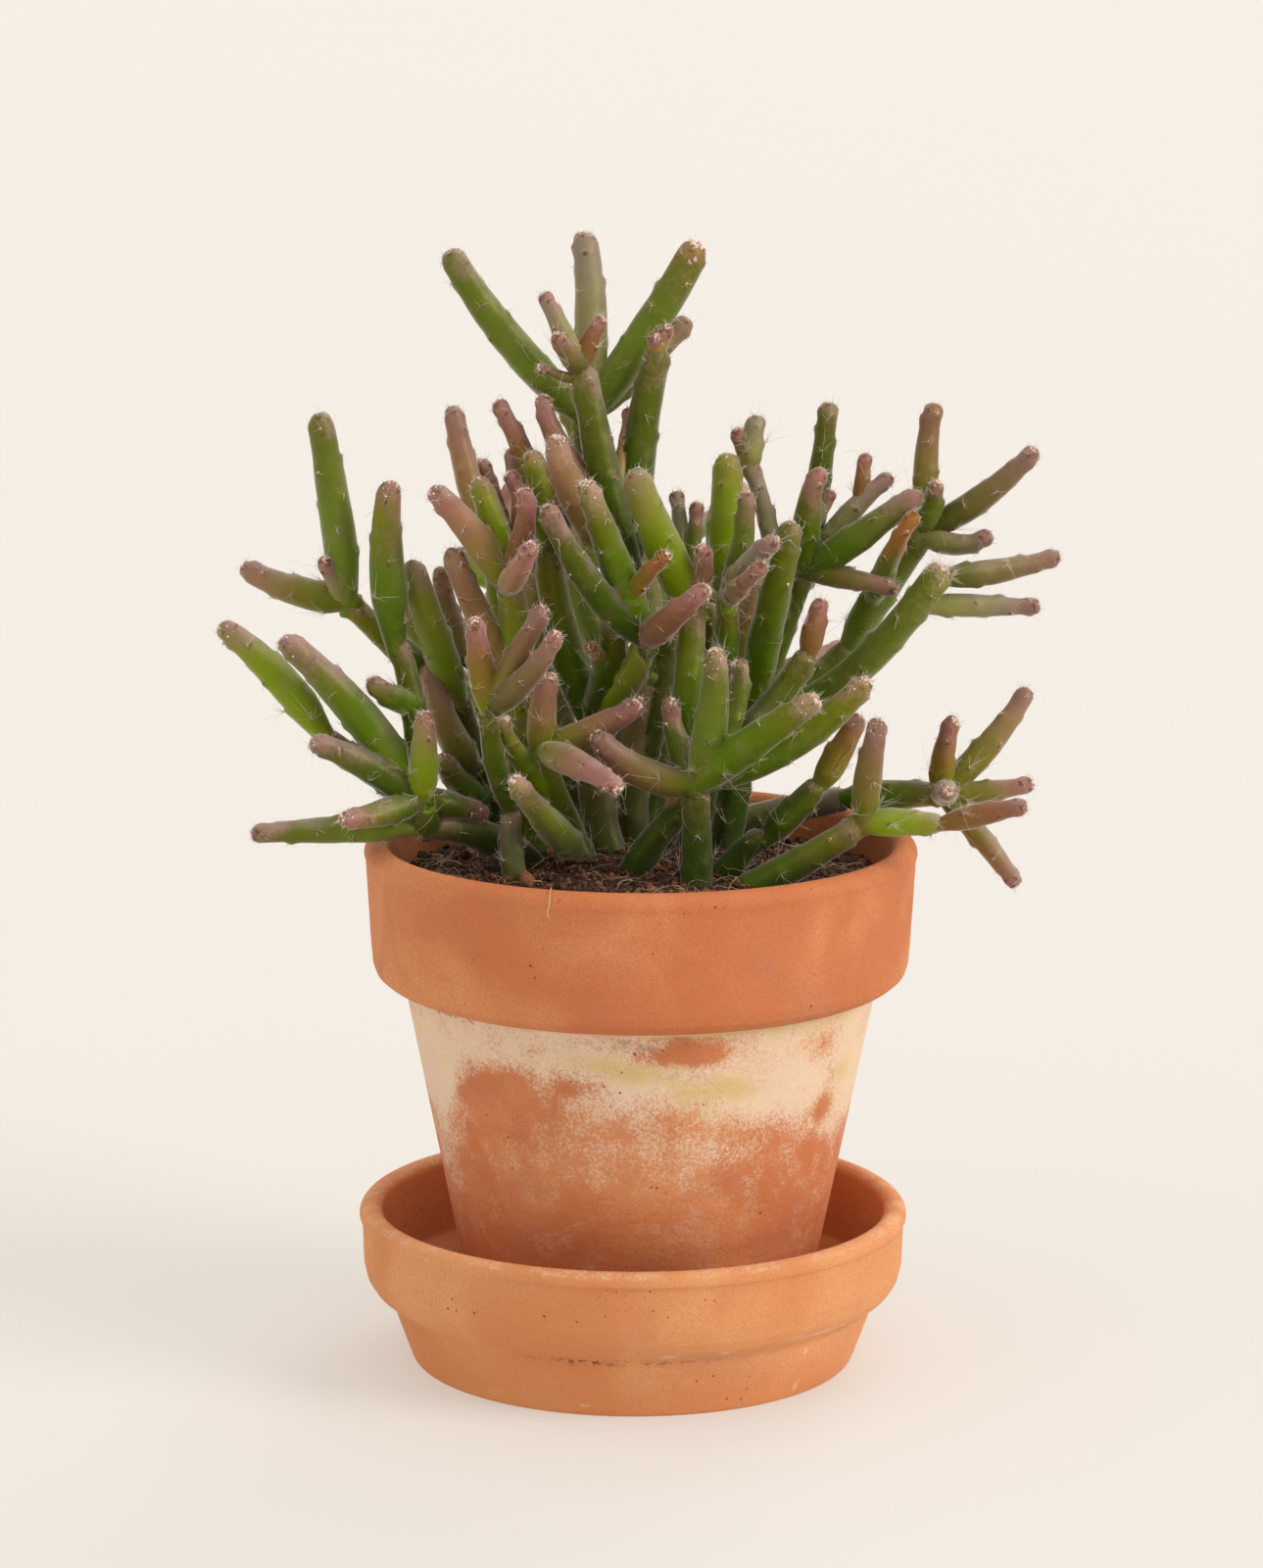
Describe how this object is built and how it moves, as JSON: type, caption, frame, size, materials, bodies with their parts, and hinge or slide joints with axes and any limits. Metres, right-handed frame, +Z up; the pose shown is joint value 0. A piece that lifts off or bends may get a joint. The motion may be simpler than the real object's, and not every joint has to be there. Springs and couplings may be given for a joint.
{
  "type": "potted rhipsalis burchellii",
  "caption": "Bushy jointed cactus with cylindrical green segments, planted in a round terracotta pot that stands on a terracotta saucer.",
  "frame": {"origin": "under the middle of the pot, on the surface that the part stands on; the middle of the saucer is 1.6 mm to the left of it", "axes": "+Z up, from the saucer to the tips of the stems; -Y towards the viewer of the picture; +X to the viewer's right"},
  "size_m": [0.196, 0.1743, 0.265],
  "materials": {
    "pot_clay": "matte",
    "saucer_clay": "matte",
    "potting_soil": "matte",
    "stem_skin": "satin"
  },
  "bodies": {
    "root": {"saucer": "saucer_clay", "pot": "pot_clay", "soil": "potting_soil", "stem_front_left": "stem_skin", "stem_front_centre": "stem_skin", "stem_front_right": "stem_skin", "stem_middle": "stem_skin", "stem_tall": "stem_skin", "stem_left": "stem_skin", "stem_left_arm": "stem_skin", "stem_over_rim": "stem_skin", "stem_right_arm": "stem_skin", "stem_upright_right": "stem_skin", "stem_low_right": "stem_skin", "stem_right_leaning": "stem_skin", "stem_back_right_low": "stem_skin", "stem_back_left": "stem_skin", "stem_back_centre": "stem_skin", "stem_back_right": "stem_skin", "stem_back_low": "stem_skin", "stem_back_tall": "stem_skin"}
  },
  "joints": []
}
